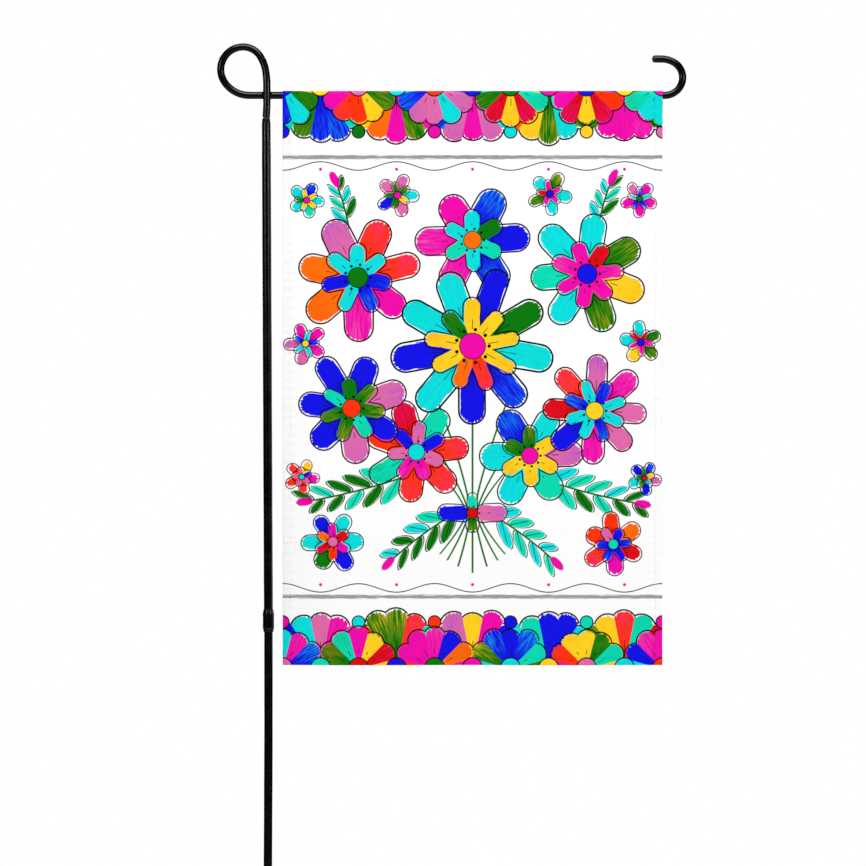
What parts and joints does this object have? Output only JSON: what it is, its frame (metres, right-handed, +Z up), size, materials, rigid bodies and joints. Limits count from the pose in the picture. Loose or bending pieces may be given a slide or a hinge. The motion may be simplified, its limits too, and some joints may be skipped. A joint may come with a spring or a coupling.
{
  "type": "garden flag on a metal flag stand",
  "caption": "Small printed cloth flag whose top pocket hangs on the arm of a black bent-rod garden stand with a loop, an end hook and a two-prong ground stake.",
  "frame": {"origin": "on the pole's axis at ground level, at the underside of the step bar; the prongs reach below it into the soil", "axes": "+X to the right along the arm as the flag is read, +Y to the back, +Z up along the pole"},
  "size_m": [0.3765, 0.0189, 0.9135],
  "materials": {
    "printed_cloth": "plain-weave polyester with a bright print on a white ground",
    "black_steel": "satin black powder coat on round steel rod"
  },
  "bodies": {
    "root": {"flag_cloth": "printed_cloth", "hanger": "black_steel", "pole_upper": "black_steel", "collar": "black_steel", "pole_lower": "black_steel", "step_bar": "black_steel", "side_prong": "black_steel"}
  },
  "joints": []
}
